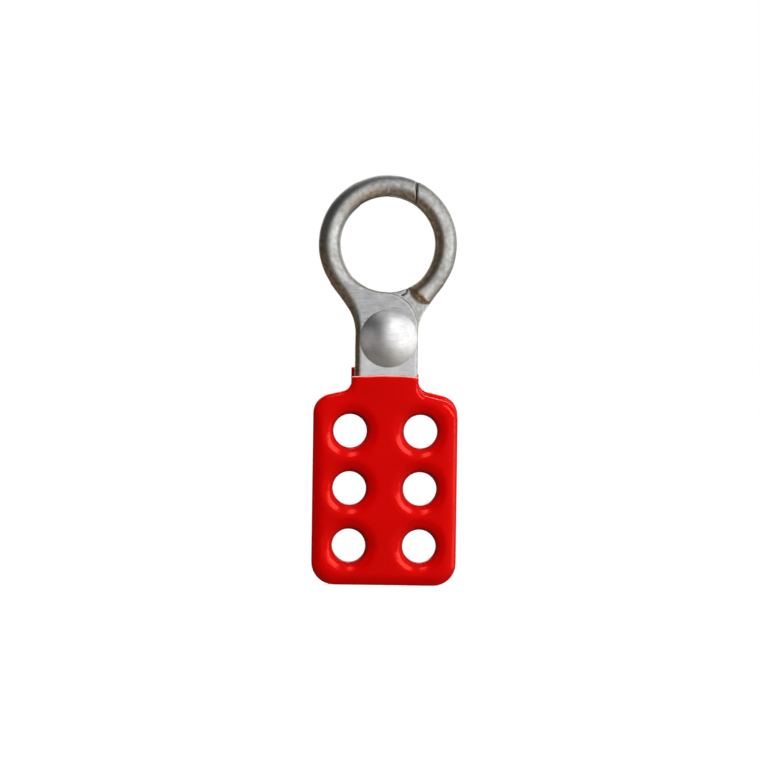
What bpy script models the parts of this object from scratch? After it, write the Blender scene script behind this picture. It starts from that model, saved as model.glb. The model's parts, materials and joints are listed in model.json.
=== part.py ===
"""A lockout hasp: two identical cast levers on one rivet, each with a half-ring jaw and a vinyl-dipped handle.

Metres, +Z up, +X to the right, the front faces -Y. The origin is the centre of the closed ring, on the
plane where the two levers meet. The rear lever is the front lever turned half a turn about the Z axis.
The hasp is modelled closed. It opens by turning the rear lever and its grip about the rivet's axis.
"""

import math

import bmesh
import bpy
from mathutils import Matrix, Vector

MM = 0.001

# Ring and its round bar; the bar's angles run from the top of the ring towards -X
JAW_INNER_RADIUS = 12.7 * MM
BAR_RADIUS = 2.95 * MM
BAR_CENTRE_RADIUS = JAW_INNER_RADIUS + BAR_RADIUS
RING_OUTER_RADIUS = BAR_CENTRE_RADIUS + BAR_RADIUS
BAR_START_DEG = -35.0
BAR_END_DEG = 152.0
SEAM_X = 7.45 * MM
RUNNING_GAP = 0.3 * MM
HALF_GAP = RUNNING_GAP / 2

# Flat plate of a lever: its outer face stands just proud of the bar, and its inner face just behind
# the lap's, so that no two joined faces share a plane
PLATE_FACE = 3.0 * MM
PLATE_INNER_FACE = 0.16 * MM
PLATE_TOP_RADIUS = 13.0 * MM
PLATE_TOP_DEG = (264.0, 215.0)
PLATE_TOP_Z = -12.95 * MM
PLATE_CORNER_RADIUS = 9.5 * MM
FLANK_DROP_DEG = 35.5
FLANK_FILLET_RADIUS = 12.0 * MM
NECK_HALF_WIDTH = 8.4 * MM
JAW_EDGE_BEVEL = 1.1 * MM
FLANK_TOP_Z = -11.5 * MM

# Pivot
PIVOT_Z = -25.5 * MM
PIVOT = (0, PIVOT_Z)
BORE_RADIUS = 3.2 * MM
SHANK_RADIUS = 3.1 * MM
SHOULDER_RADIUS = 15.4 * MM
NOSE_DEG = 227.7
NOSE_RADIUS = 4.3 * MM
HEAD_CLEARANCE = 0.1 * MM
HEAD_RADIUS = 7.75 * MM
HEAD_HEIGHT = 3.4 * MM
TAIL_RADIUS = 7.0 * MM
TAIL_HEIGHT = 2.6 * MM
HEAD_RIM = 0.35 * MM

# Tongue on each jaw's tip, in a socket of the other jaw, so that the closed ring can't be pried apart
TONGUE_RADIUS = 39.7 * MM
TONGUE_HALF_WIDTH = 0.8 * MM
TONGUE_ROOT = 1.5 * MM
TONGUE_REACH = 1.4 * MM
TONGUE_DEPTHS = (-2.0 * MM, -1.0 * MM)
SOCKET_ROOM = 0.3 * MM

# Handle, coating included
GRIP_HALF_WIDTH = 19.45 * MM
GRIP_BOTTOM_Z = -91.7 * MM
JAW_SHOULDER_Z = -39.1 * MM
FREE_SHOULDER_Z = -40.3 * MM
SHOULDER_SLOPE_DEG = 13.0
TOP_CORNER_RADIUS = 5.4 * MM
BOTTOM_CORNER_RADIUS = 6.2 * MM
NECK_FILLET_RADIUS = 3.0 * MM
HOLE_RADIUS = 4.6 * MM
HOLE_COLUMN_X = 9.45 * MM
HOLE_ROW_Z = (-50.3 * MM, -65.7 * MM, -81.1 * MM)

# Dip coating
COAT = 0.8 * MM
COAT_FIT = 0.1 * MM
FRONT_DIP_Z = -35.3 * MM
REAR_DIP_Z = -34.1 * MM
RELIEF_Z = -33.4 * MM
HANDLE_INNER_FACE = HALF_GAP + COAT

ARC_STEPS = 6
RING_STEPS = 40
BAR_SIDES = 20
HOLE_SIDES = 28
RIVET_SIDES = 40
DOME_STEPS = 6
SHOULDER_SIDES = 72
NOSE_SIDES = 36
EDGE_TOLERANCE = 0.01 * MM
FAR = 60 * MM


def clear_scene():
    """Removes every object, so that the file starts empty."""
    for thing in list(bpy.data.objects):
        bpy.data.objects.remove(thing, do_unlink=True)


def make_material(name, colour, roughness, metallic):
    """A Principled material of one colour."""
    material = bpy.data.materials.new(name)
    material.use_nodes = True
    shader = material.node_tree.nodes["Principled BSDF"]
    shader.inputs["Base Color"].default_value = (*colour, 1.0)
    shader.inputs["Roughness"].default_value = roughness
    shader.inputs["Metallic"].default_value = metallic
    return material


def object_from(bm, name):
    """Puts a bmesh in the scene as an object with its faces pointing out."""
    bmesh.ops.recalc_face_normals(bm, faces=bm.faces)
    mesh = bpy.data.meshes.new(name)
    bm.to_mesh(mesh)
    bm.free()
    thing = bpy.data.objects.new(name, mesh)
    bpy.context.scene.collection.objects.link(thing)
    return thing


def arc(centre, radius, start_deg, end_deg, steps=ARC_STEPS):
    """Points (x, z) on an arc; angles run from +X towards +Z."""
    points = []
    for i in range(steps + 1):
        angle = math.radians(start_deg + (end_deg - start_deg) * i / steps)
        points.append((centre[0] + radius * math.cos(angle), centre[1] + radius * math.sin(angle)))
    return points


def fillet(before, corner, after, radius, steps=ARC_STEPS):
    """The arc that rounds a corner between two straight stretches, as points (x, z)."""
    b, c, a = Vector(before), Vector(corner), Vector(after)
    to_b = (b - c).normalized()
    to_a = (a - c).normalized()
    half = to_b.angle(to_a) / 2
    centre = c + (to_b + to_a).normalized() * radius / math.sin(half)
    first = c + to_b * radius / math.tan(half) - centre
    turn = math.atan2(*reversed(first))
    sweep = (math.pi - 2 * half) * math.copysign(1, to_a.cross(to_b))
    points = []
    for i in range(steps + 1):
        angle = turn + sweep * i / steps
        points.append((centre.x + radius * math.cos(angle), centre.y + radius * math.sin(angle)))
    return points


def prism(name, outlines, y_front, y_back):
    """Closed outlines in the XZ plane, each extruded from y_front to y_back."""
    bm = bmesh.new()
    faces = [bm.faces.new([bm.verts.new((x, y_front, z)) for x, z in outline]) for outline in outlines]
    swept = bmesh.ops.extrude_face_region(bm, geom=faces)
    moved = [v for v in swept["geom"] if isinstance(v, bmesh.types.BMVert)]
    bmesh.ops.translate(bm, verts=moved, vec=(0, y_back - y_front, 0))
    return object_from(bm, name)


def box(name, low, high):
    """An axis-aligned box between two corners."""
    outline = [(low[0], low[2]), (high[0], low[2]), (high[0], high[2]), (low[0], high[2])]
    return prism(name, [outline], low[1], high[1])


def drums(name, centres, radius, y_front, y_back, sides=HOLE_SIDES):
    """Round bars along Y, one centred on each (x, z)."""
    rounds = [arc(centre, radius, 0, 360 - 360 / sides, sides - 1) for centre in centres]
    return prism(name, rounds, y_front, y_back)


def boolean(target, tool, operation):
    """Joins a tool to the target, or cuts it away; the tool stays in the scene as a hidden guide."""
    tool.hide_render = True
    tool.display_type = "WIRE"
    modifier = target.modifiers.new(tool.name, "BOOLEAN")
    modifier.operation = operation
    modifier.solver = "EXACT"
    modifier.object = tool


def half_bar(name):
    """The round bar of the left half ring, from past the seam on the right, over the top, to the flank."""
    bm = bmesh.new()
    circle = bmesh.ops.create_circle(bm, segments=BAR_SIDES, radius=BAR_RADIUS)
    # The section stands at the top of the ring, facing along X, and is spun from the first angle
    stand = Matrix.Translation((0, 0, BAR_CENTRE_RADIUS)) @ Matrix.Rotation(math.radians(90), 4, "Y")
    bmesh.ops.transform(bm, matrix=stand, verts=circle["verts"])
    first = Matrix.Rotation(math.radians(-BAR_START_DEG), 4, "Y")
    bmesh.ops.transform(bm, matrix=first, verts=bm.verts)
    bmesh.ops.spin(
        bm,
        geom=bm.edges[:],
        cent=(0, 0, 0),
        axis=(0, -1, 0),
        angle=math.radians(BAR_END_DEG - BAR_START_DEG),
        steps=RING_STEPS,
    )
    bmesh.ops.holes_fill(bm, edges=bm.edges, sides=0)
    return object_from(bm, name)


def lever_outline():
    """The front lever's plate from the front: ring edge, jaw-side flank on the left, handle, free corner."""
    drop = math.radians(FLANK_DROP_DEG)
    leave = (-RING_OUTER_RADIUS * math.cos(drop), -RING_OUTER_RADIUS * math.sin(drop))
    # The flank leaves the ring along its tangent and a wide fillet turns it down the neck
    reach = (-NECK_HALF_WIDTH - leave[0]) / math.sin(drop)
    knee = (-NECK_HALF_WIDTH, leave[1] - reach * math.cos(drop))
    foot = (-NECK_HALF_WIDTH, PIVOT_Z)
    points = arc((0, 0), PLATE_TOP_RADIUS, *PLATE_TOP_DEG)
    points += [leave]
    points += fillet(leave, knee, foot, FLANK_FILLET_RADIUS)
    points += handle_outline(COAT)
    corner_z = PLATE_TOP_Z - PLATE_CORNER_RADIUS
    corner_x = NECK_HALF_WIDTH - PLATE_CORNER_RADIUS
    points += arc((corner_x, corner_z), PLATE_CORNER_RADIUS, 0, 90)
    return points


def handle_outline(inset):
    """The front handle from its left fillet round to its right one, shrunk by inset all round.

    The jaw-side shoulder, on the left, stands a little higher than the free one.
    """
    side = GRIP_HALF_WIDTH - inset
    neck = NECK_HALF_WIDTH + COAT - inset
    bottom = GRIP_BOTTOM_Z + inset
    slope = math.tan(math.radians(SHOULDER_SLOPE_DEG))
    lift = inset / math.cos(math.radians(SHOULDER_SLOPE_DEG))
    corner_radius = TOP_CORNER_RADIUS - inset
    fillet_radius = NECK_FILLET_RADIUS + inset

    def shoulder(level, x):
        return (x, level - lift - (abs(x) - NECK_HALF_WIDTH - COAT) * slope)

    left_neck = shoulder(JAW_SHOULDER_Z, -neck)
    left_corner = shoulder(JAW_SHOULDER_Z, -side)
    right_neck = shoulder(FREE_SHOULDER_Z, neck)
    right_corner = shoulder(FREE_SHOULDER_Z, side)
    top_left = (-neck, PIVOT_Z)
    top_right = (neck, PIVOT_Z)
    bottom_left = (-side, bottom)
    bottom_right = (side, bottom)
    points = fillet(top_left, left_neck, left_corner, fillet_radius)
    points += fillet(left_neck, left_corner, bottom_left, corner_radius)
    points += fillet(left_corner, bottom_left, bottom_right, BOTTOM_CORNER_RADIUS - inset)
    points += fillet(bottom_left, bottom_right, right_corner, BOTTOM_CORNER_RADIUS - inset)
    points += fillet(bottom_right, right_corner, right_neck, corner_radius)
    points += fillet(right_corner, right_neck, top_right, fillet_radius)
    return points


def closed_at(outline, top_z):
    """A handle's outline carried up its neck to a straight top edge."""
    return [(outline[0][0], top_z)] + outline + [(outline[-1][0], top_z)]


def hole_centres():
    """The six padlock holes, as (x, z)."""
    return [(side * HOLE_COLUMN_X, z) for z in HOLE_ROW_Z for side in (-1, 1)]


def cut_holes(target, radius, label):
    """Drills the six holes through along Y."""
    boolean(target, drums(label, hole_centres(), radius, -FAR, FAR), "DIFFERENCE")


def tongue_outline(grow):
    """A short arc about the pivot, from inside the right-hand tip to past the seam, widened by grow."""
    def angle_at(x):
        return math.degrees(math.acos(x / TONGUE_RADIUS))

    start = angle_at(SEAM_X - TONGUE_ROOT)
    end = angle_at(SEAM_X + HALF_GAP + TONGUE_REACH + grow)
    outer = arc(PIVOT, TONGUE_RADIUS + TONGUE_HALF_WIDTH + grow, start, end, 3)
    inner = arc(PIVOT, TONGUE_RADIUS - TONGUE_HALF_WIDTH - grow, end, start, 3)
    return outer + inner


def build_lever(label):
    """One casting, in the front lever's place."""
    lever = half_bar(label)

    # Half lap over the top: the tip keeps the front half of the bar and ends at the seam
    lap = box(f"{label}_lap", (-SEAM_X - HALF_GAP, -HALF_GAP, 0), (FAR, FAR, FAR))
    boolean(lever, lap, "DIFFERENCE")
    tip = box(f"{label}_tip", (SEAM_X - HALF_GAP, -FAR, 0), (FAR, FAR, FAR))
    boolean(lever, tip, "DIFFERENCE")

    # The rear half of the bar is cleared round the pivot and ends in a round nose
    shoulder = drums(f"{label}_shoulder", [PIVOT], SHOULDER_RADIUS, -HALF_GAP, FAR, SHOULDER_SIDES)
    nose_centre = arc((0, 0), BAR_CENTRE_RADIUS, NOSE_DEG, NOSE_DEG, 1)[0]
    nose = drums(f"{label}_nose", [nose_centre], NOSE_RADIUS, -FAR, FAR, NOSE_SIDES)
    boolean(shoulder, nose, "DIFFERENCE")
    boolean(lever, shoulder, "DIFFERENCE")

    plate = prism(f"{label}_plate", [lever_outline()], -PLATE_FACE, -PLATE_INNER_FACE)
    bevel_jaw_edge(plate)
    boolean(lever, plate, "UNION")
    # Below the neck the inner face is set back to make room for the coating
    inner_face = -HANDLE_INNER_FACE - COAT_FIT
    relief = box(f"{label}_relief", (-FAR, inner_face, -2 * FAR), (FAR, FAR, RELIEF_Z))
    boolean(lever, relief, "DIFFERENCE")

    tongue = prism(f"{label}_tongue", [tongue_outline(0)], *TONGUE_DEPTHS)
    boolean(lever, tongue, "UNION")
    socket = prism(
        f"{label}_socket",
        [[(-x, z) for x, z in tongue_outline(SOCKET_ROOM)]],
        -TONGUE_DEPTHS[1] - SOCKET_ROOM,
        -TONGUE_DEPTHS[0] + SOCKET_ROOM,
    )
    boolean(lever, socket, "DIFFERENCE")

    bore = drums(f"{label}_bore", [PIVOT], BORE_RADIUS, -FAR, FAR)
    boolean(lever, bore, "DIFFERENCE")
    cut_holes(lever, HOLE_RADIUS + COAT, f"{label}_hole")
    return lever


def bevel_jaw_edge(plate):
    """Rounds the front edge of the plate along its flank and the jaw side of its neck."""
    bm = bmesh.new()
    bm.from_mesh(plate.data)
    flank = []
    for edge in bm.edges:
        ends = [v.co for v in edge.verts]
        in_front = all(co.y < -PLATE_FACE + EDGE_TOLERANCE for co in ends)
        on_flank = all(co.x < -NECK_HALF_WIDTH + EDGE_TOLERANCE and co.z < FLANK_TOP_Z for co in ends)
        if in_front and on_flank:
            flank.append(edge)
    bmesh.ops.bevel(bm, geom=flank, offset=JAW_EDGE_BEVEL, segments=3, profile=0.5, affect="EDGES")
    bm.to_mesh(plate.data)
    bm.free()


def build_grip(label, dip_z):
    """The dip coating of one handle, in the front lever's place: a shell that lines the six holes."""
    y_front = -PLATE_FACE - COAT
    grip = prism(label, [closed_at(handle_outline(0), dip_z)], y_front, -HALF_GAP)
    pocket = prism(
        f"{label}_pocket",
        [closed_at(handle_outline(COAT - COAT_FIT), PIVOT_Z)],
        -PLATE_FACE - COAT_FIT,
        -HANDLE_INNER_FACE,
    )
    cut_holes(pocket, HOLE_RADIUS + COAT - COAT_FIT, f"{label}_pillar")
    boolean(grip, pocket, "DIFFERENCE")
    cut_holes(grip, HOLE_RADIUS, f"{label}_hole")
    return grip


def dome(radius, height, face, outward):
    """Half profile (radius, y) of a domed head on the plate's face, from its rim to the centre."""
    seat = face + outward * HEAD_CLEARANCE
    edge = seat + outward * HEAD_RIM
    rise = height - HEAD_RIM
    sphere = (radius**2 + rise**2) / (2 * rise)
    span = math.asin(radius / sphere)
    points = [(radius, seat)]
    for i in range(DOME_STEPS + 1):
        angle = span * (1 - i / DOME_STEPS)
        lift = sphere * (math.cos(angle) - math.cos(span))
        points.append((sphere * math.sin(angle), edge + outward * lift))
    return points


def build_rivet(label):
    """The rivet, turned about the pivot's axis: domed head in front, shank, formed head behind."""
    front = dome(HEAD_RADIUS, HEAD_HEIGHT, -PLATE_FACE, -1)
    back = dome(TAIL_RADIUS, TAIL_HEIGHT, PLATE_FACE, 1)
    shank_front = (SHANK_RADIUS, front[0][1])
    shank_back = (SHANK_RADIUS, back[0][1])
    profile = list(reversed(front)) + [shank_front, shank_back] + back
    bm = bmesh.new()
    line = [bm.verts.new((radius, y, 0)) for radius, y in profile]
    for first, second in zip(line, line[1:]):
        bm.edges.new((first, second))
    bmesh.ops.spin(
        bm,
        geom=bm.verts[:] + bm.edges[:],
        cent=(0, 0, 0),
        axis=(0, 1, 0),
        angle=math.tau,
        steps=RIVET_SIDES,
    )
    bmesh.ops.remove_doubles(bm, verts=bm.verts, dist=0.001 * MM)
    rivet = object_from(bm, label)
    rivet.data.shade_smooth()
    rivet.data.set_sharp_from_angle(angle=math.radians(35))
    rivet.location = (0, 0, PIVOT_Z)
    return rivet


def with_cutters(piece):
    """A piece and every tool that shapes it, the tools' own tools included."""
    family = [piece]
    for modifier in piece.modifiers:
        family += with_cutters(modifier.object)
    return family


def turn_to_rear(piece):
    """Turns a piece half a turn about Z, from the front lever's place to the rear one's."""
    half_turn = Matrix.Rotation(math.pi, 4, "Z")
    for thing in with_cutters(piece):
        thing.data.transform(half_turn)


def hang_on(body, piece):
    """Parents a piece to a body's empty, whose origin is on the pivot's axis."""
    for thing in with_cutters(piece):
        thing.parent = body
        thing.matrix_parent_inverse = Matrix.Translation((0, 0, -PIVOT_Z))


def main():
    clear_scene()
    aluminium = make_material("cast_aluminium", (0.60, 0.59, 0.57), 0.38, 1.0)
    steel = make_material("rivet_steel", (0.66, 0.66, 0.66), 0.25, 1.0)
    vinyl = make_material("red_vinyl", (0.62, 0.004, 0.004), 0.22, 0.0)

    bodies = {}
    for name in ("front_half", "rear_half"):
        bodies[name] = bpy.data.objects.new(name, None)
        bodies[name].location = (0, 0, PIVOT_Z)
        bpy.context.scene.collection.objects.link(bodies[name])

    front_lever = build_lever("front_lever")
    rear_lever = build_lever("rear_lever")
    front_grip = build_grip("front_grip", FRONT_DIP_Z)
    rear_grip = build_grip("rear_grip", REAR_DIP_Z)
    pivot_rivet = build_rivet("pivot_rivet")

    for piece in (rear_lever, rear_grip):
        turn_to_rear(piece)
    for piece in (front_lever, front_grip, pivot_rivet):
        hang_on(bodies["front_half"], piece)
    for piece in (rear_lever, rear_grip):
        hang_on(bodies["rear_half"], piece)

    finishes = {
        aluminium: (front_lever, rear_lever),
        steel: (pivot_rivet,),
        vinyl: (front_grip, rear_grip),
    }
    for material, pieces in finishes.items():
        for piece in pieces:
            piece.data.materials.append(material)


main()
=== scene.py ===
"""The looks of the lockout hasp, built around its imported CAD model.

The levers and grips are implicit solids, negative inside, sampled on a grid and turned into meshes, because
castings and dip coatings have no hard edges. The rivet is turned from a half section. The rear lever and its
grip are the front ones turned half a turn about the Z axis. Lengths in the fields and outlines are in
millimetres; meshes, materials, lights and the camera are in metres.
"""

import json
import math
from functools import cached_property

import bmesh
import bpy
import numpy as np
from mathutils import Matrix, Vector


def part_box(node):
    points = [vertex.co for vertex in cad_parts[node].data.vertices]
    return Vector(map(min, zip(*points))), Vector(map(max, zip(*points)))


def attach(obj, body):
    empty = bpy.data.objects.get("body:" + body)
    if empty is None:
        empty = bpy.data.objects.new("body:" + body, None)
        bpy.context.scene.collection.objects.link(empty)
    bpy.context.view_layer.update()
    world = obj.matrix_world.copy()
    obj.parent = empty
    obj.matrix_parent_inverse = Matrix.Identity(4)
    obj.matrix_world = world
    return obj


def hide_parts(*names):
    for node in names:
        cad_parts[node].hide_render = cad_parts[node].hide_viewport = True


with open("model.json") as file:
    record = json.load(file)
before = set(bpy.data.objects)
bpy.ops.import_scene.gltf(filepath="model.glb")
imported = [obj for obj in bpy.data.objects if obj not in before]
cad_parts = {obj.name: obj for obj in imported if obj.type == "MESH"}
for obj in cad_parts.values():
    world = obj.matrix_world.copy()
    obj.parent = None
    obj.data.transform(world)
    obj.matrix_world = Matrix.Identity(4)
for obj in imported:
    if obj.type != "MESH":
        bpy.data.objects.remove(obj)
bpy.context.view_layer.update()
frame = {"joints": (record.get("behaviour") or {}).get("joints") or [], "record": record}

MM = 0.001


def box_mm(node):
    """A CAD node's corners in millimetres."""
    low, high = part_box(node)
    return np.array(low) / MM, np.array(high) / MM


# ---------------------------------------------------------------- sizes, from the frame where it has them

lever_low, lever_high = box_mm("front_lever")
grip_low, grip_high = box_mm("front_grip")
rivet_low, rivet_high = box_mm("pivot_rivet")

# Ring and its round bar, which ends some degrees from the ring's lowest point; the seam is at its top right
RING_INNER = 12.7
RING_OUTER = lever_high[2] + 0.05
BAR_RADIUS = (RING_OUTER - RING_INNER) / 2
BAR_CENTRE = (RING_OUTER + RING_INNER) / 2
SEAM_X = 7.45
SEAM_GAP = 0.26
HALF_GAP = -grip_high[1]
BAR_END_DEG = 27
DEGREE_ON_RING = 0.27

# Plate, neck and flank
PLATE_FACE = 2.95
PLATE_TOP_Z = -12.95
PLATE_CORNER = 9.5
PLATE_EDGE = 0.6
NECK_HALF = 8.4
FLANK_DROP = math.radians(35.5)
FLANK_START = (-15.2, -7.2)
KNEE_RADIUS = 12

# Room for the other lever: a circle round the pivot, cleared up to where the jaw ends in a round nose
PIVOT_Z = frame["joints"][0]["pos_m"][2] / MM
BORE_RADIUS = 3.2
SHOULDER_RADIUS = 15.4
NOSE_RADIUS = 4.3
NOSE_ANGLE = math.radians(227.7)
NOSE = (BAR_CENTRE * math.cos(NOSE_ANGLE), BAR_CENTRE * math.sin(NOSE_ANGLE))
CLEARED_TOP_Z = -6
CRACK = [(-5.5, -11.7), (-5.1, -13.1), (-3.9, -13.8)]
CRACK_HALF_WIDTH = 0.16
CRACK_DEPTH = 1.4

# Tongue on the jaw's tip and socket in the other jaw; each centre and half size goes out from the pivot,
# through the bar and along X
TONGUE_CENTRE = (39.7, -1.5, 7.3)
TONGUE_HALF = (0.75, 0.5, 1.5)
SOCKET_CENTRE = (39.7, 1.5, -7.6)
SOCKET_HALF = (1.1, 0.8, 1.9)

# Handle and its coating
GRIP_HALF = grip_high[0]
GRIP_BOTTOM = grip_low[2]
GRIP_FACE = -grip_low[1]
COAT = GRIP_HALF - lever_high[0]
COAT_FIT = 0.1
COAT_OVERLAP = 0.45
HANDLE_BACK = HALF_GAP + COAT + COAT_FIT
JAW_SHOULDER_Z = -39.1
FREE_SHOULDER_Z = -40.3
SHOULDER_SLOPE = math.tan(math.radians(13))
RELIEF_Z = -33.4
HIDDEN_Z = -36.4
HOLE_RADIUS = 4.45
RIM_REACH = 3.35
RIM_SLOPE = 0.37

# Rivet: a domed head in front, a flatter one behind
TAIL_RADIUS = 7.0
SHANK_RADIUS = 3.1
HEAD_RIM = 0.45
HEAD_SHIFT = 0.6
RIVET_SIDES = 128

# A field value so far inside that it cuts nothing away
INSIDE = -9.0


def padlock_holes():
    """The holes' centres (x, z) in millimetres, from the openings that the record states."""
    centres = []
    for opening in frame["record"]["physics"]["openings"]:
        if opening["name"].startswith("padlock_hole"):
            low, high = opening["box_m"]
            centres.append(((low[0] + high[0]) / 2 / MM, (low[2] + high[2]) / 2 / MM))
    return centres


HOLES = padlock_holes()


# ---------------------------------------------------------------- field helpers

def smooth_max(a, b, soft):
    """The larger of two fields, with the corner between them rounded over the length soft."""
    h = np.clip(0.5 + 0.5 * (a - b) / soft, 0, 1)
    return b + (a - b) * h + soft * h * (1 - h)


def smooth_min(a, b, soft):
    return -smooth_max(-a, -b, soft)


def step(x, low, high):
    """0 below low, 1 above high, smooth between."""
    t = np.clip((x - low) / (high - low), 0, 1)
    return t * t * (3 - 2 * t)


def rounded_slab(edge, depth, reach, drop):
    """A slab whose edge is rounded to a quarter of an ellipse.

    edge is the distance outside the outline, depth the distance outside the slab's face, reach how far
    in the rounding starts and drop how deep it goes.
    """
    u = np.maximum(edge / reach + 1, 0)
    v = np.maximum(depth / drop + 1, 0)
    corner = (np.sqrt(u**2 + v**2) - 1) * np.minimum(reach, drop)
    flat = np.maximum(edge, depth)
    return np.where(np.maximum(u, v) > 0, np.maximum(corner, flat), flat)


def arc(cx, cz, radius, start, end, steps=10):
    """Points on an arc, angles in degrees from +X towards +Z."""
    angles = np.radians(np.linspace(start, end, steps + 1))
    return [(cx + radius * math.cos(a), cz + radius * math.sin(a)) for a in angles]


def rounded_outline(corners, steps=8):
    """A closed outline from corners (x, z, radius); radius 0 keeps a corner sharp."""
    points = []
    for i, (x, z, radius) in enumerate(corners):
        corner = Vector((x, z))
        if radius == 0:
            points.append((x, z))
            continue
        before = Vector(corners[i - 1][:2])
        after = Vector(corners[(i + 1) % len(corners)][:2])
        to_before = (before - corner).normalized()
        to_after = (after - corner).normalized()
        half = to_before.angle(to_after) / 2
        centre = corner + (to_before + to_after).normalized() * radius / math.sin(half)
        first = corner + to_before * radius / math.tan(half) - centre
        start = math.atan2(first.y, first.x)
        sweep = (math.pi - 2 * half) * math.copysign(1, to_after.cross(to_before))
        for k in range(steps + 1):
            angle = start + sweep * k / steps
            points.append((centre.x + radius * math.cos(angle), centre.y + radius * math.sin(angle)))
    return points


def outline_distance(outline, x, z):
    """Signed distance to a closed outline, negative inside."""
    x, z = np.broadcast_arrays(x, z)
    nearest = np.full(x.shape, np.inf)
    inside = np.zeros(x.shape, bool)
    for (ax, az), (bx, bz) in zip(outline, outline[1:] + outline[:1]):
        ex, ez = bx - ax, bz - az
        length = ex * ex + ez * ez
        if length < 1e-12:
            continue
        t = np.clip(((x - ax) * ex + (z - az) * ez) / length, 0, 1)
        nearest = np.minimum(nearest, (x - ax - t * ex) ** 2 + (z - az - t * ez) ** 2)
        if ez != 0:
            crosses = (z >= min(az, bz)) & (z < max(az, bz)) & (x < ax + (z - az) * ex / ez)
            inside ^= crosses
    return np.where(inside, -1, 1) * np.sqrt(nearest)


def ripple(x, y, z, wavelength, seed):
    """A smooth, fixed unevenness between about -1 and 1."""
    rng = np.random.default_rng(seed)
    total = 0
    for _ in range(9):
        direction = rng.normal(size=3)
        direction *= math.tau / wavelength * rng.uniform(0.6, 1.5) / np.linalg.norm(direction)
        phase = rng.uniform(0, math.tau)
        total = total + np.sin(direction[0] * x + direction[1] * y + direction[2] * z + phase)
    return total / 4.5


# ---------------------------------------------------------------- fields to meshes

CORNERS = [(a, b, c) for a in (0, 1) for b in (0, 1) for c in (0, 1)]
CELL_EDGES = [
    (p, q) for p in CORNERS for q in CORNERS if p < q and sum(abs(i - j) for i, j in zip(p, q)) == 1
]


def crossing_points(values, axes, i, j, k):
    """One point in each given cell: the mean of the places where the field is zero on the cell's edges."""
    total = np.zeros((len(i), 3))
    crossings = np.zeros(len(i))
    for p, q in CELL_EDGES:
        vp = values[i + p[0], j + p[1], k + p[2]]
        vq = values[i + q[0], j + q[1], k + q[2]]
        cut = (vp < 0) != (vq < 0)
        t = np.where(cut, vp / np.where(cut, vp - vq, 1), 0)
        for axis, index in enumerate((i, j, k)):
            low = axes[axis][index + p[axis]]
            high = axes[axis][index + q[axis]]
            total[:, axis] += np.where(cut, low + t * (high - low), 0)
        crossings += cut
    return total / crossings[:, None]


def crossing_quads(inside, number, axis):
    """A quad round each grid edge along the axis that the surface crosses, facing outwards."""
    cells = number.shape
    u, v = (axis + 1) % 3, (axis + 2) % 3
    low = [slice(None)] * 3
    high = [slice(None)] * 3
    low[axis] = slice(None, -1)
    high[axis] = slice(1, None)
    start = inside[tuple(low)]
    change = start != inside[tuple(high)]
    at = np.array(np.nonzero(change))
    keep = (at[u] > 0) & (at[v] > 0) & (at[u] < cells[u]) & (at[v] < cells[v])
    at = at[:, keep]
    leaving = start[tuple(at)]
    quad = []
    for du, dv in ((1, 1), (0, 1), (0, 0), (1, 0)):
        cell = at.copy()
        cell[u] -= du
        cell[v] -= dv
        quad.append(number[tuple(cell)])
    quad = np.array(quad).T
    return np.where(leaving[:, None], quad, quad[:, ::-1])


def surface_net(values, axes):
    """Points and quads of the zero surface of values, sampled at the grid lines in axes."""
    inside = values < 0
    cells = tuple(n - 1 for n in values.shape)
    count = np.zeros(cells, np.int8)
    for a, b, c in CORNERS:
        count += inside[a : a + cells[0], b : b + cells[1], c : c + cells[2]]
    i, j, k = np.nonzero((count > 0) & (count < len(CORNERS)))
    number = np.full(cells, -1, np.int64)
    number[i, j, k] = np.arange(len(i))
    points = crossing_points(values, axes, i, j, k)
    quads = [crossing_quads(inside, number, axis) for axis in range(3)]
    return points, np.concatenate(quads)


def mesh_from_field(name, field, axes, half_turn=False):
    """A smooth object from a field, given half a turn about Z when it is the rear one."""
    grid = np.meshgrid(*axes, indexing="ij", sparse=True)
    values = np.ascontiguousarray(np.broadcast_to(field(*grid), [len(a) for a in axes]))
    points, quads = surface_net(values, axes)
    if half_turn:
        points = points * (-1, -1, 1)
    mesh = bpy.data.meshes.new(name)
    mesh.vertices.add(len(points))
    mesh.vertices.foreach_set("co", (points * MM).astype(np.float32).ravel())
    mesh.loops.add(quads.size)
    mesh.loops.foreach_set("vertex_index", quads.astype(np.int32).ravel())
    mesh.polygons.add(len(quads))
    mesh.polygons.foreach_set("loop_start", np.arange(0, quads.size, 4, dtype=np.int32))
    mesh.update(calc_edges=True)
    mesh.validate()
    mesh.shade_smooth()
    return add_object(name, mesh)


def add_object(name, data):
    thing = bpy.data.objects.new(name, data)
    bpy.context.scene.collection.objects.link(thing)
    return thing


def grid_line(*stretches):
    """Grid positions from stretches (start, end, spacing), each starting where the last one ended."""
    line = []
    for start, end, spacing in stretches:
        count = max(1, round((end - start) / spacing))
        line.append(np.linspace(start, end, count, endpoint=False))
    return np.concatenate(line + [[stretches[-1][1]]])


# ---------------------------------------------------------------- the levers

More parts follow.
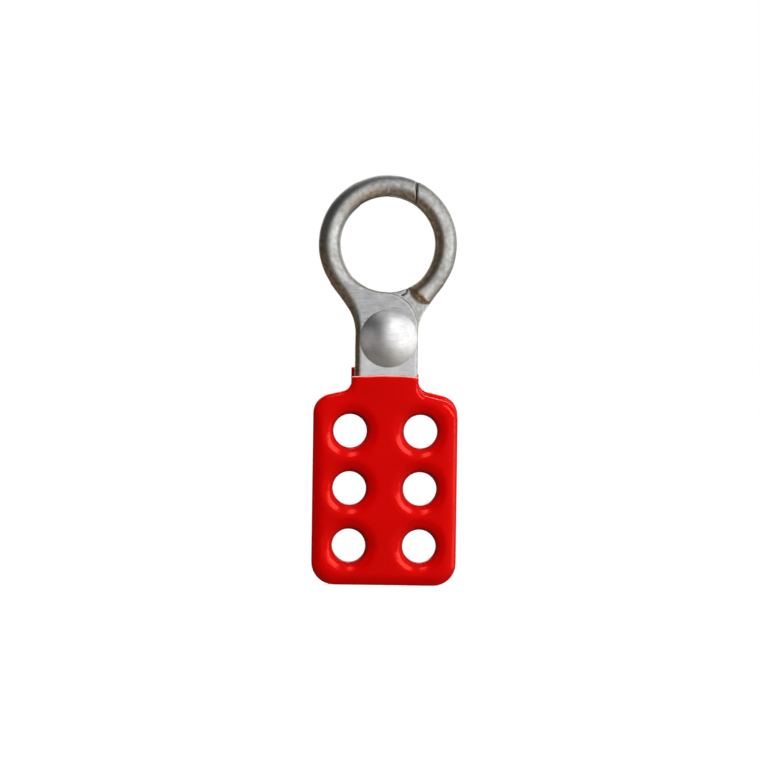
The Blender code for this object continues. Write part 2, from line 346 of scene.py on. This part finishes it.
def lever_outline():
    """The front lever's plate: along the ring, down the left flank, round the handle and up the free edge."""
    leave = (-RING_OUTER * math.cos(FLANK_DROP), -RING_OUTER * math.sin(FLANK_DROP))
    knee = leave[1] - (-NECK_HALF - leave[0]) / math.tan(FLANK_DROP)
    side = lever_high[0]
    bottom = lever_low[2]
    jaw_shoulder = JAW_SHOULDER_Z - COAT
    free_shoulder = FREE_SHOULDER_Z - COAT
    fall = (side - NECK_HALF) * SHOULDER_SLOPE
    fillet, top_corner, bottom_corner = 3.8, 4.6, 5.4
    top_edge = [(x, z, 0) for x, z in arc(0, 0, -PLATE_TOP_Z, 264, 222, 10)]
    return rounded_outline(
        top_edge
        + [
            (*FLANK_START, 0),
            (leave[0] + 0.02, leave[1], 0),
            (-NECK_HALF, knee, KNEE_RADIUS),
            (-NECK_HALF, jaw_shoulder, fillet),
            (-side, jaw_shoulder - fall, top_corner),
            (-side, bottom, bottom_corner),
            (side, bottom, bottom_corner),
            (side, free_shoulder - fall, top_corner),
            (NECK_HALF, free_shoulder, fillet),
            (NECK_HALF, PLATE_TOP_Z, PLATE_CORNER),
        ]
    )


def hole_distance(x, z):
    """Distance from the nearest hole's axis."""
    nearest = np.inf
    for hole_x, hole_z in HOLES:
        nearest = np.minimum(nearest, np.hypot(x - hole_x, z - hole_z))
    return nearest


def handle_field(plate, x, y, z):
    """The part of a lever that its coating hides, well rounded so that the coat never thins out."""
    front = -y - PLATE_FACE
    slab = rounded_slab(plate, front, 2.2, 1.4)
    hole = rounded_slab(HOLE_RADIUS + COAT - hole_distance(x, z), front, 2.4, 1.4)
    return np.maximum(np.maximum(slab, hole), y + HANDLE_BACK)


def from_bottom_degrees(x, z):
    """The angle round the ring from its lowest point, towards its left side."""
    return np.degrees(np.arctan2(-x, -z))


def lever_rounding(x, z):
    """How far in the rounding of the lever's edge starts: the full bar on the ring, crisp round the plate.

    On the plate, the rounding of whichever is nearest counts most: its inner edge, left flank or free edge.
    """
    ring = np.hypot(x, z)
    edge_inside = 0.9
    inner = edge_inside + (BAR_RADIUS - edge_inside) * step(from_bottom_degrees(x, z), 14, 66)
    inner = np.where(z > 0, BAR_RADIUS, inner)
    flank = np.interp(z, (-25, -19, -13.5), (1.6, 2.3, BAR_RADIUS))
    flank_x = np.interp(z, (-24, -17, -10.7), (-8.4, -10.6, -15.06))
    across = x - (NECK_HALF - PLATE_CORNER)
    up = z - (PLATE_TOP_Z - PLATE_CORNER)
    corner = PLATE_CORNER - np.hypot(np.maximum(across, 0), np.maximum(up, 0)) + 2 * np.maximum(-across, 0)
    near = 0.25
    to_inner = np.maximum(ring - RING_INNER, 0) + near
    to_flank = np.maximum(x - flank_x, 0) * 0.85 + near
    to_free = np.maximum(np.minimum(NECK_HALF - x, corner), 0) + near
    parts = ((to_inner, inner), (to_flank, flank), (to_free, PLATE_EDGE))
    weights = [distance**-4.0 for distance, _ in parts]
    mixed = sum(weight * radius for weight, (_, radius) in zip(weights, parts)) / sum(weights)
    return BAR_RADIUS + (mixed - BAR_RADIUS) * step(-z, 4, 12)


def bar_and_plate(plate, x, z):
    """The lever from the front: the ring's band, over the top and down the left, joined to the plate."""
    ring = np.hypot(x, z)
    from_bottom = from_bottom_degrees(x, z)
    band = np.abs(ring - BAR_CENTRE) - BAR_RADIUS
    past_end = np.where(z < 0, (BAR_END_DEG - from_bottom) * DEGREE_ON_RING, INSIDE)
    band = np.maximum(band, np.where(x > 0, -z, past_end))
    inner_edge = RING_INNER + 0.28 * step(-from_bottom, -72, -42)
    return np.maximum(smooth_min(plate, band, 0.5), inner_edge - ring)


def clear_other_lever(solid, x, y, z):
    """Cuts away what the other lever fills: behind the plate, behind the lap, and past the seam."""
    ring = np.hypot(x, z)
    behind = y + HALF_GAP
    gap = 0.05 + SEAM_GAP * step(ring, BAR_CENTRE - 1.5, RING_OUTER)
    shoulder = np.hypot(x, z - PIVOT_Z) - SHOULDER_RADIUS
    nose = NOSE_RADIUS - np.hypot(x - NOSE[0], z - NOSE[1])
    cleared = -np.maximum(np.maximum(shoulder, nose), z - CLEARED_TOP_Z)
    jaw_end = rounded_slab(cleared, y - PLATE_FACE, 2.2, 2.6)
    solid = np.maximum(solid, np.minimum(behind, jaw_end))
    lap = np.maximum(-SEAM_X - gap - x, -z)
    solid = smooth_max(solid, np.minimum(behind, -lap), 0.5)
    return smooth_max(solid, np.where(z > 0, x - SEAM_X + gap, INSIDE), 0.35)


def tip_block(centre, half, x, y, z):
    """A block on the upper half of the ring, bent round the pivot."""
    away = np.abs(np.hypot(x, z - PIVOT_Z) - centre[0]) - half[0]
    through = np.abs(y - centre[1]) - half[1]
    along = np.abs(x - centre[2]) - half[2]
    return np.maximum(np.maximum(away, through), np.maximum(along, -z))


def slit(x, y, z):
    """A hairline casting crack beside the nose, in the mating face."""
    line = np.inf
    for (ax, az), (bx, bz) in zip(CRACK, CRACK[1:]):
        ex, ez = bx - ax, bz - az
        t = np.clip(((x - ax) * ex + (z - az) * ez) / (ex * ex + ez * ez), 0, 1)
        line = np.minimum(line, np.hypot(x - ax - t * ex, z - az - t * ez))
    return np.maximum(line - CRACK_HALF_WIDTH, np.abs(y + HALF_GAP) - CRACK_DEPTH)


def lever_field(seed, cracked):
    outline = lever_outline()

    def field(x, y, z):
        plate = outline_distance(outline, x, z)
        # In front the edge is crisp where the plate is flat; behind, the bar stays round to its end
        radius = lever_rounding(x, z)
        radius = radius + (BAR_RADIUS - radius) * step(y, -0.8, 0)
        shape = bar_and_plate(plate, x, z)
        solid = rounded_slab(shape, np.abs(y) - PLATE_FACE, radius, np.minimum(radius, BAR_RADIUS))
        solid = solid + 0.035 * ripple(x, y, z, 7, seed)
        solid = clear_other_lever(solid, x, y, z)
        solid = smooth_min(solid, tip_block(TONGUE_CENTRE, TONGUE_HALF, x, y, z), 0.2)
        solid = smooth_max(solid, -tip_block(SOCKET_CENTRE, SOCKET_HALF, x, y, z), 0.2)
        solid = smooth_max(solid, BORE_RADIUS - np.hypot(x, z - PIVOT_Z), 0.3)
        if cracked:
            solid = np.maximum(solid, -slit(x, y, z))
        relief = np.where(z < RELIEF_Z, y + HANDLE_BACK, INSIDE)
        return np.where(z < HIDDEN_Z, handle_field(plate, x, y, z), np.maximum(solid, relief))

    return field


def build_lever(name, body, seed, half_turn):
    """A lever, sampled finely where it shows and coarsely in its coating; the rear one has the crack."""
    edge = 0.6
    fine = 0.22
    fine_x = SEAM_X + 3
    coarse_z = -39
    axes = (
        grid_line((lever_low[0] - edge, fine_x, fine), (fine_x, lever_high[0] + edge, 0.4)),
        grid_line((-PLATE_FACE - edge, PLATE_FACE + edge, fine)),
        grid_line((lever_low[2] - edge, coarse_z, 0.8), (coarse_z, RING_OUTER + edge, fine)),
    )
    lever = mesh_from_field(name, lever_field(seed, half_turn), axes, half_turn)
    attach(lever, body)
    return lever


# ---------------------------------------------------------------- the grips

def grip_outline(left_neck, right_neck):
    """The coated handle from the front; its neck runs up past the dip line."""
    side = GRIP_HALF
    fillet, top_corner, bottom_corner = 3.0, 5.4, 6.2
    return rounded_outline(
        [
            (-left_neck, PIVOT_Z, 0),
            (-left_neck, JAW_SHOULDER_Z, fillet),
            (-side, JAW_SHOULDER_Z - (side - left_neck) * SHOULDER_SLOPE, top_corner),
            (-side, GRIP_BOTTOM, bottom_corner),
            (side, GRIP_BOTTOM, bottom_corner),
            (side, FREE_SHOULDER_Z - (side - right_neck) * SHOULDER_SLOPE, top_corner),
            (right_neck, FREE_SHOULDER_Z, fillet),
            (right_neck, PIVOT_Z, 0),
        ]
    )


def face_crown(x, z, neck_half):
    """How far the coating's outer face falls away from its middle: a little, and more across the neck."""
    across_neck = np.minimum(np.abs(x) / neck_half, 1) ** 2 * step(z, -46, -40)
    return 0.10 * (x / GRIP_HALF) ** 2 + 0.3 * across_neck


def hole_rims(face, is_outer, hole):
    """The face and its holes; each rim slopes evenly inwards, then rolls over into the hole."""
    slope = (face + RIM_SLOPE * (hole + RIM_REACH)) * math.cos(math.atan(RIM_SLOPE))
    sloping = smooth_max(face, np.where(is_outer, slope, INSIDE), 0.3)
    return smooth_max(sloping, hole, 1.6)


def grip_field(dip, tilt, neck, hole_radius, seed):
    """A coating; dip is its dip line's height in the middle, tilt the line's rise per millimetre of x."""
    outside = grip_outline(*neck)
    handle = lever_outline()

    def field(x, y, z):
        middle = -(GRIP_FACE + HALF_GAP) / 2
        half = (GRIP_FACE - HALF_GAP) / 2
        outer = step(middle - y, -1.0, 1.0)
        depth = np.abs(y - middle) - half
        swell = 0.05 * ripple(x, 0 * y, z, 16, seed)
        face = depth + swell + face_crown(x, z, neck[0]) * outer

        # The edges are well rounded on the outer face, less so at the neck and the shoulders
        wide = step(-z, 38, 52)
        reach = 1.7 + (0.3 + 2.6 * wide) * outer
        drop = 0.9 + (0.1 + 1.2 * wide) * outer
        body = rounded_slab(outline_distance(outside, x, z), face, reach, drop)
        rims = hole_rims(face, y < middle, hole_radius - hole_distance(x, z))
        solid = smooth_max(body, rims, 0.35)

        # The dip line: a soft lip, a little uneven, lower at the neck's edges
        line = dip + tilt * x - 0.035 * np.abs(x) ** 1.35 + 0.12 * ripple(x, 0, 0, 9, seed + 1)
        lip = rounded_slab(z - line, depth, 1.3, 0.75)
        solid = smooth_max(solid, lip, 0.2)

        # Hollow for the handle, a little inside its skin so that no gap shows, and open at the neck
        hollow = handle_field(outline_distance(handle, x, z), x, y, z) + COAT_OVERLAP
        return np.maximum(solid, -hollow)

    return field


def build_grip(name, body, dip, tilt, neck, hole_radius, seed, half_turn):
    """A coating; neck gives the half widths of its neck at the left and right, before any half turn."""
    edge = 0.7
    spacing = 0.3
    above_dip = 2
    axes = (
        grid_line((-GRIP_HALF - edge, GRIP_HALF + edge, spacing)),
        grid_line((-GRIP_FACE - edge, -HALF_GAP + edge, 0.26)),
        grid_line((GRIP_BOTTOM - edge, dip + above_dip, spacing)),
    )
    grip = mesh_from_field(name, grip_field(dip, tilt, neck, hole_radius, seed), axes, half_turn)
    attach(grip, body)
    return grip


# ---------------------------------------------------------------- the rivet

def head_profile(radius, height, face, outward, steps=28):
    """Half section (radius, y) of a domed head, from its seat to its crown, with a small rolled rim."""
    rise = height - HEAD_RIM * 0.5
    sphere = (radius**2 + rise**2) / (2 * rise)
    span = math.asin((radius - HEAD_RIM * 0.35) / sphere)
    points = [(SHANK_RADIUS, face), (radius - 0.55, face), (radius - 0.3, face + outward * 0.02)]
    for angle in np.radians((-50, -10, 30)):
        across = radius - HEAD_RIM * 0.42 * (1 - math.cos(angle))
        along = HEAD_RIM * (0.5 + 0.45 * math.sin(angle))
        points.append((across, face + outward * along))
    base = sphere * math.cos(span)
    for i in range(steps + 1):
        angle = span * (1 - i / steps)
        share = (sphere * math.cos(angle) - base) / (sphere - base)
        points.append((sphere * math.sin(angle), face + outward * (HEAD_RIM + share * (height - HEAD_RIM))))
    return points


def turned_point(radius, y, turn):
    """A point of the rivet; its front head sits a little to the right of its shank, as it was struck."""
    shift = HEAD_SHIFT * step(-y, PLATE_FACE - 0.4, PLATE_FACE)
    wobble = 1 + 0.004 * math.sin(2 * turn + 0.7) * (radius / rivet_high[0])
    across = radius * wobble
    return (shift + across * math.cos(turn)) * MM, y * MM, (PIVOT_Z + across * math.sin(turn)) * MM


def weld(mesh):
    """Joins the points that meet at the crowns, and turns every face outwards."""
    bm = bmesh.new()
    bm.from_mesh(mesh)
    bmesh.ops.remove_doubles(bm, verts=bm.verts, dist=1e-6)
    bmesh.ops.recalc_face_normals(bm, faces=bm.faces)
    bm.to_mesh(mesh)
    bm.free()


def build_rivet(name, body):
    front = head_profile(rivet_high[0], -rivet_low[1] - PLATE_FACE, -PLATE_FACE, -1)
    back = head_profile(TAIL_RADIUS, rivet_high[1] - PLATE_FACE, PLATE_FACE, 1)
    profile = front[::-1] + back
    turns = [math.tau * side / RIVET_SIDES for side in range(RIVET_SIDES)]
    points = [turned_point(radius, y, turn) for radius, y in profile for turn in turns]
    quads = []
    for ring in range(0, (len(profile) - 1) * RIVET_SIDES, RIVET_SIDES):
        for side in range(RIVET_SIDES):
            a = ring + side
            b = ring + (side + 1) % RIVET_SIDES
            quads.append((a, b, b + RIVET_SIDES, a + RIVET_SIDES))
    mesh = bpy.data.meshes.new(name)
    mesh.from_pydata(points, [], quads)
    weld(mesh)
    mesh.shade_smooth()
    mesh.set_sharp_from_angle(angle=math.radians(50))
    rivet = add_object(name, mesh)
    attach(rivet, body)
    return rivet


# ---------------------------------------------------------------- node helpers

class NodeKit:
    """Short ways to add nodes to a tree."""

    def __init__(self, tree):
        self.nodes = tree.nodes
        self.links = tree.links

    def make(self, kind, settings=None, **inputs):
        """A node with its inputs set, or linked where a socket is given.

        An input is named with _ for a space, or as in0, in1 and so on by its number.
        """
        node = self.nodes.new("ShaderNode" + kind)
        for key, value in (settings or {}).items():
            setattr(node, key, value)
        for key, value in inputs.items():
            socket = node.inputs[int(key[2:]) if key.startswith("in") else key.replace("_", " ")]
            if isinstance(value, bpy.types.NodeSocket):
                self.links.new(value, socket)
            else:
                socket.default_value = value
        return node

    def math(self, operation, a, **b):
        return self.make("Math", {"operation": operation}, in0=a, **b).outputs["Value"]

    def times(self, a, b):
        return self.math("MULTIPLY", a, in1=b)

    def larger(self, a, b):
        return self.math("MAXIMUM", a, in1=b)

    def scaled(self, vector, by):
        return self.make("VectorMath", {"operation": "MULTIPLY"}, in0=vector, in1=by).outputs["Vector"]

    def parts(self, vector):
        """A vector's outputs X, Y and Z."""
        return self.make("SeparateXYZ", in0=vector).outputs

    def distance_to(self, place, x, z):
        """How far, in metres, a place is from the line along Y through x and z in millimetres."""
        flat = self.scaled(place, (1, 0, 1))
        away = self.make("VectorMath", {"operation": "DISTANCE"}, in0=flat, in1=(x * MM, 0, z * MM))
        return away.outputs["Value"]

    def remap(self, value, start, end, low=0.0, high=1.0):
        """low at start, high at end, straight between."""
        node = self.make("MapRange", Value=value, From_Min=start, From_Max=end, To_Min=low, To_Max=high)
        return node.outputs["Result"]

    def fade(self, value, start, end):
        """0 at start, 1 at end, smooth between."""
        settings = {"interpolation_type": "SMOOTHSTEP"}
        return self.make("MapRange", settings, Value=value, From_Min=start, From_Max=end).outputs["Result"]

    def noise(self, vector, scale, detail):
        return self.make("TexNoise", Vector=vector, Scale=scale, Detail=detail).outputs["Fac"]

    def mean(self, a, b, share_of_b):
        return self.make("Mix", {"data_type": "FLOAT"}, Factor=share_of_b, A=a, B=b).outputs["Result"]

    def mix(self, factor, a, b):
        """A colour from a, where the factor is 0, to b."""
        return self.make("Mix", {"data_type": "RGBA"}, in0=factor, in6=a, in7=b).outputs[2]

    def ramp(self, factor, stops):
        """A colour ramp from (position, colour) stops."""
        node = self.make("ValToRGB", Fac=factor)
        elements = node.color_ramp.elements
        while len(elements) < len(stops):
            elements.new(0.5)
        for element, (position, colour) in zip(elements, stops):
            element.position = position
            element.color = (*colour, 1)
        return node.outputs["Color"]


class Finish(NodeKit):
    """A new material and its shader, with what its pattern is made from, each made when first used."""

    def __init__(self, name):
        self.material = bpy.data.materials.new(name)
        self.material.use_nodes = True
        super().__init__(self.material.node_tree)
        self.shader = self.nodes["Principled BSDF"]

    @cached_property
    def place(self):
        return self.make("TexCoord").outputs["Object"]

    @cached_property
    def along(self):
        """The place's outputs X, Y and Z."""
        return self.parts(self.place)

    @cached_property
    def normal(self):
        """The surface's direction in the world, as outputs X, Y and Z."""
        return self.parts(self.make("NewGeometry").outputs["Normal"])

    @cached_property
    def facing(self):
        """1 where the surface faces straight forwards or backwards, 0 on the sides."""
        return self.math("ABSOLUTE", self.normal["Y"])

    def set(self, socket, value):
        self.shader.inputs[socket].default_value = value

    def drive(self, socket, value):
        self.links.new(value, self.shader.inputs[socket])


# ---------------------------------------------------------------- materials

def casting_grey(finish, mottle):
    stops = ((0.34, (0.40, 0.39, 0.365)), (0.5, (0.575, 0.575, 0.555)), (0.64, (0.72, 0.73, 0.72)))
    return finish.ramp(mottle, stops)


def ring_mottle(finish, spots):
    """Unevenness of the casting, whose marks are drawn out lengthwise along the ring."""
    angle = finish.math("ARCTAN2", finish.along["X"], in1=finish.along["Z"])
    lengthwise = finish.times(angle, 4.5 * MM)
    across = finish.distance_to(finish.place, 0, 0)
    drawn_out = finish.make("CombineXYZ", in0=across, in1=finish.along["Y"], in2=lengthwise)
    return finish.mean(finish.noise(drawn_out.outputs["Vector"], 300, 4), spots, 0.5)


def paint_plate_sheen(finish, grey):
    """The plate's flat face is painted lighter where it faces forwards, a painted sheen, and lighter still
    towards the grip, with faint streaks across it.
    """
    outward = finish.math("ABSOLUTE", finish.along["Y"])
    height = finish.along["Z"]
    # Painted sheen: the forward-facing flat face is painted lighter, more so towards the grip
    face_sheen = finish.times(finish.fade(finish.facing, 0.93, 0.985), finish.fade(height, -9 * MM, -14.5 * MM))
    face_sheen = finish.times(face_sheen, finish.fade(outward, 1.8 * MM, 2.5 * MM))
    streaks = finish.noise(finish.scaled(finish.place, (0.12, 1, 1)), 2400, 3)
    upper_tone = finish.ramp(streaks, ((0.3, (0.50, 0.505, 0.52)), (0.7, (0.74, 0.745, 0.75))))
    lower_tone = finish.ramp(streaks, ((0.3, (0.74, 0.745, 0.75)), (0.7, (0.86, 0.865, 0.87))))
    bright = finish.mix(finish.fade(height, -17 * MM, -33 * MM), upper_tone, lower_tone)
    return finish.mix(face_sheen, grey, bright)


def painted_brown_reflection(finish):
    """How much painted brown reflection and shade the casting gets: inside the ring, down its left flank, on
    the noses and the edges.
    """
    fade, times, larger = finish.fade, finish.times, finish.larger
    x, y, z = finish.along["X"], finish.along["Y"], finish.along["Z"]
    ring = finish.distance_to(finish.place, 0, 0)
    from_pivot = finish.distance_to(finish.place, 0, PIVOT_Z)
    patches = finish.remap(finish.noise(finish.place, 150, 2), 0.4, 0.6, 0.55, 1.0)

    inside = times(fade(ring, 15.7 * MM, 14.3 * MM), fade(z, -12.5 * MM, -10.5 * MM))
    where = larger(fade(x, 2 * MM, 9 * MM), times(fade(z, 7 * MM, 13 * MM), 0.55))
    inside = times(times(inside, where), patches)

    flank = times(fade(ring, 16.0 * MM, 17.4 * MM), fade(x, -7.6 * MM, -9.6 * MM))
    flank = times(flank, fade(z, 5 * MM, -5 * MM))
    neck = times(fade(x, -6.2 * MM, -7.8 * MM), fade(z, -19 * MM, -24 * MM))
    flank = times(larger(flank, neck), patches)

    # The noses lie near the shoulder's circle, on the right in front and on the left behind
    near_shoulder = times(fade(from_pivot, 12.4 * MM, 13.0 * MM), fade(from_pivot, 16.4 * MM, 14.8 * MM))
    nose = times(near_shoulder, fade(times(x, y), -1e-6, -6e-6))
    edges = times(fade(finish.facing, 0.8, 0.35), fade(z, -4 * MM, -12 * MM))
    return larger(larger(inside, flank), larger(times(nose, 0.8), times(edges, 0.35)))


def cast_material(name):
    """Sand-cast aluminium: mottled grey, with a painted sheen on the plate's face and painted brown
    reflection and shade in places.
    """
    finish = Finish(name)
    finish.set("Metallic", 1)
    spots = finish.noise(finish.place, 900, 3)
    mottle = ring_mottle(finish, spots)
    metal = paint_plate_sheen(finish, casting_grey(finish, mottle))
    # Painted brown reflection and shade, laid over the grey inside the ring, down the left flank, on the
    # noses and on the side-facing edges
    brown = finish.ramp(spots, ((0.35, (0.42, 0.27, 0.15)), (0.65, (0.86, 0.62, 0.40))))
    finish.drive("Base Color", finish.mix(painted_brown_reflection(finish), metal, brown))
    finish.drive("Roughness", finish.remap(mottle, 0.35, 0.65, 0.44, 0.3))
    swell = finish.make("Bump", Strength=0.5, Distance=0.00012, Height=finish.noise(finish.place, 520, 2))
    sand = finish.noise(finish.place, 2600, 3)
    grain = finish.make("Bump", Strength=0.4, Distance=0.00004, Height=sand, Normal=swell.outputs["Normal"])
    finish.drive("Normal", grain.outputs["Normal"])
    return finish.material


def steel_material(name):
    """The rivet: bright steel with fine scratches across it."""
    finish = Finish(name)
    finish.set("Metallic", 1)
    scratches = finish.noise(finish.scaled(finish.place, (0.15, 1, 1)), 1900, 4)
    cloud = finish.noise(finish.place, 330, 3)
    both = finish.mean(cloud, scratches, 0.45)
    finish.drive("Base Color", finish.ramp(both, ((0.35, (0.76, 0.765, 0.76)), (0.6, (0.97, 0.97, 0.975)))))
    finish.drive("Roughness", finish.remap(both, 0.3, 0.7, 0.42, 0.33))
    relief = finish.make("Bump", Strength=0.45, Distance=0.00003, Height=scratches)
    finish.drive("Normal", relief.outputs["Normal"])
    return finish.material


def painted_edge_shade(finish):
    """How much painted shade a vinyl surface gets where it turns sideways: fully in and round the holes,
    partly elsewhere.
    """
    nearest = 1.0
    for x, z in HOLES:
        nearest = finish.math("MINIMUM", nearest, in1=finish.distance_to(finish.place, x, z))
    by_hole = finish.remap(nearest, 6.0 * MM, 5.2 * MM, 0.35, 1.0)
    return finish.times(finish.remap(finish.facing, 0.8, 0.3), by_hole)


def painted_lip_highlight(finish):
    """A painted highlight on the outer corner of the dip line, where the coating thins out."""
    upward = finish.normal["Z"]
    corner = finish.times(finish.remap(upward, 0.25, 0.5), finish.remap(upward, 0.98, 0.86))
    return finish.times(corner, finish.remap(finish.along["Z"], -37.4 * MM, -36.8 * MM))


def vinyl_material(name):
    """Dipped red vinyl with a faint orange peel, glossy on its faces, duller in the holes and painted darker
    there as shade, with a painted highlight along the dip line.
    """
    finish = Finish(name)
    finish.set("Specular IOR Level", 0.5)
    finish.set("Specular Tint", (1, 0.08, 0.06, 1))
    cloud = finish.noise(finish.place, 60, 2)
    red = finish.ramp(cloud, ((0.3, (0.55, 0.0006, 0.0005)), (0.7, (0.62, 0.0008, 0.0006))))
    # Painted shade: surfaces turned sideways, most of all round the holes, are darkened towards this dark red
    colour = finish.mix(painted_edge_shade(finish), red, (0.17, 0.0006, 0.0005, 1))
    # Painted highlight: the dip line's upward-facing lip is painted pale pink
    colour = finish.mix(painted_lip_highlight(finish), colour, (0.85, 0.42, 0.35, 1))
    finish.drive("Base Color", colour)
    finish.drive("Roughness", finish.remap(finish.facing, 0.3, 0.75, 0.36, 0.16))
    peel = finish.make("Bump", Strength=0.055, Distance=0.0002, Height=finish.noise(finish.place, 420, 1))
    finish.drive("Normal", peel.outputs["Normal"])
    return finish.material


def floor_material(name):
    finish = Finish(name)
    finish.set("Base Color", (0.9, 0.9, 0.9, 1))
    finish.set("Roughness", 0.9)
    finish.set("Specular IOR Level", 0.0)
    finish.set("Emission Color", (1, 1, 1, 1))
    finish.set("Emission Strength", 0.9)
    return finish.material


# ---------------------------------------------------------------- studio

# What the metal mirrors: azimuth, elevation, and the degrees from there to full and to no brightness; colour
MIRRORED = (
    (0, -90, 0, 180, (0.06, 0.055, 0.045)),
    (0, -85, 0, 80, (0.12, 0.11, 0.10)),
    (0, 100, 0, 55, (0.19, 0.19, 0.19)),
    (42, 18, 18, 67, (0.93, 0.93, 0.94)),
    (10, 31, 0, 30, (0.12, 0.12, 0.12)),
    (0, -15, 5, 40, (0.20, 0.20, 0.20)),
    (60, -32, 5, 50, (0.40, 0.39, 0.37)),
    (105, 12, 12, 60, (0.50, 0.49, 0.47)),
    (-80, 0, 0, 90, (0.055, 0.055, 0.055)),
    (180, 20, 5, 60, (0.65, 0.65, 0.65)),
)

# Softboxes: name, azimuth, elevation and turn in degrees, size in metres, watts
GRIP_LIGHTS = (
    ("strip", 37, 20, -45, (0.72, 0.2), 9.6),
    ("top_spot", -9, 39, 0, (0.2, 0.2), 1.7),
    ("overhead", -5, 64, 0, (0.5, 0.12), 0.5),
    ("behind", 190, 50, 45, (1.2, 1.2), 15),
    ("right_edge", 61, -2, 0, (0.12, 0.6), 1.6),
)
RIVET_LIGHTS = (
    ("left_fill", -62, 2, 0, (1.0, 0.9), 0.62),
    ("glare", 22, 40, 0, (0.6, 0.75), 0.62),
    ("crown", -25, 78, 0, (0.7, 0.7), 0.5),
)
SOFTBOX_DISTANCE = 1.0
SOFTBOX_TARGET = Vector((0, 0, -37 * MM))


def direction(azimuth, elevation):
    """A unit vector from the object: azimuth 0 is towards the camera, 90 to its right."""
    a, e = math.radians(azimuth), math.radians(elevation)
    return Vector((math.sin(a) * math.cos(e), -math.cos(a) * math.cos(e), math.sin(e)))


def mirrored_studio(kit):
    """The sum of the soft bright fields that the metal mirrors."""
    seen = kit.make("TexCoord").outputs["Generated"]
    total = None
    for azimuth, elevation, inner, outer, colour in MIRRORED:
        towards = direction(azimuth, elevation)
        aim = kit.make("VectorMath", {"operation": "DOT_PRODUCT"}, in0=seen, in1=towards)
        near = math.cos(math.radians(inner))
        far = math.cos(math.radians(outer))
        bright = kit.fade(aim.outputs["Value"], far, near)
        field = kit.make("VectorMath", {"operation": "SCALE"}, in0=colour, Scale=bright).outputs["Vector"]
        if total is None:
            total = field
        else:
            total = kit.make("VectorMath", {"operation": "ADD"}, in0=total, in1=field).outputs["Vector"]
    return total


def build_world():
    """White to the eye and dim to matt surfaces; the metal mirrors a studio, brightest at its upper right."""
    world = bpy.data.worlds.new("studio")
    bpy.context.scene.world = world
    world.use_nodes = True
    kit = NodeKit(world.node_tree)
    kit.nodes.clear()
    white = (1, 1, 1, 1)
    background = kit.make("Background", Color=white, Strength=1.0).outputs["Background"]
    soft = kit.make("Background", Color=white, Strength=0.17).outputs["Background"]
    mirrored = kit.make("Background", Color=mirrored_studio(kit)).outputs["Background"]
    path = kit.make("LightPath").outputs
    bounced = kit.make("MixShader", in0=path["Is Glossy Ray"], in1=soft, in2=mirrored).outputs["Shader"]
    shown = kit.make("MixShader", in0=path["Is Camera Ray"], in1=bounced, in2=background).outputs["Shader"]
    kit.make("OutputWorld", Surface=shown)


def add_softbox(name, azimuth, elevation, turn, size, watts):
    """An area light aimed at the middle of the hasp, then turned by some degrees about its own axis."""
    data = bpy.data.lights.new(name, "AREA")
    data.shape = "RECTANGLE"
    data.size, data.size_y = size
    data.energy = watts
    lamp = add_object(name, data)
    lamp.location = SOFTBOX_TARGET + direction(azimuth, elevation) * SOFTBOX_DISTANCE
    lamp.rotation_euler = (SOFTBOX_TARGET - lamp.location).to_track_quat("-Z", "Y").to_euler()
    lamp.rotation_euler.rotate_axis("Z", math.radians(turn))
    return lamp


def light_only(group, lit, softboxes):
    """Softboxes that light the given pieces and nothing else."""
    collection = bpy.data.collections.new(group)
    for piece in lit:
        collection.objects.link(piece)
    for softbox in softboxes:
        add_softbox(*softbox).light_linking.receiver_collection = collection


def build_floor():
    half = 3.0
    clearance = 0.0001
    z = GRIP_BOTTOM * MM - clearance
    mesh = bpy.data.meshes.new("floor")
    corners = [(-half, -half, z), (half, -half, z), (half, half, z), (-half, half, z)]
    mesh.from_pydata(corners, [], [(0, 1, 2, 3)])
    mesh.materials.append(floor_material("pale_floor"))
    floor = add_object("floor", mesh)
    floor.visible_glossy = False
    floor.visible_diffuse = False


def build_camera():
    """Straight on, with a long lens; the photograph's object leans a little, so the camera rolls."""
    data = bpy.data.cameras.new("camera")
    data.lens = 100
    data.sensor_width = 36
    camera = add_object("camera", data)
    view_width = 203.6 * MM
    aim_x, front_y, aim_z = -1.6 * MM, -3 * MM, -36.6 * MM
    roll = math.radians(0.8)
    distance = view_width * data.lens / data.sensor_width
    camera.location = (aim_x, front_y - distance, aim_z)
    camera.rotation_euler = (math.radians(90), 0, 0)
    camera.rotation_euler.rotate_axis("Z", roll)
    bpy.context.scene.camera = camera


# ---------------------------------------------------------------- the whole

aluminium = cast_material("cast_aluminium")
steel = steel_material("rivet_steel")
vinyl = vinyl_material("red_vinyl")

front_lever = build_lever("front_lever_casting", "front_half", 11, False)
rear_lever = build_lever("rear_lever_casting", "rear_half", 23, True)
front_grip = build_grip("front_grip_coating", "front_half", -35.1, 0.0, (9.2, 8.8), HOLE_RADIUS, 5, False)
rear_grip = build_grip("rear_grip_coating", "rear_half", -33.2, 0.1, (8.8, 9.4), HOLE_RADIUS + 0.1, 8, True)
rivet = build_rivet("pivot_rivet_turned", "front_half")

for piece, node, material in (
    (front_lever, "front_lever", aluminium),
    (rear_lever, "rear_lever", aluminium),
    (front_grip, "front_grip", vinyl),
    (rear_grip, "rear_grip", vinyl),
    (rivet, "pivot_rivet", steel),
):
    piece.data.materials.append(material)
    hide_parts(node)

# The grips leave no red reflections on the metal
for grip in (front_grip, rear_grip):
    grip.visible_glossy = False

build_world()
build_floor()
light_only("vinyl_lit", (front_grip, rear_grip), GRIP_LIGHTS)
light_only("rivet_lit", (rivet,), RIVET_LIGHTS)
build_camera()
bpy.context.scene.view_settings.view_transform = "Standard"
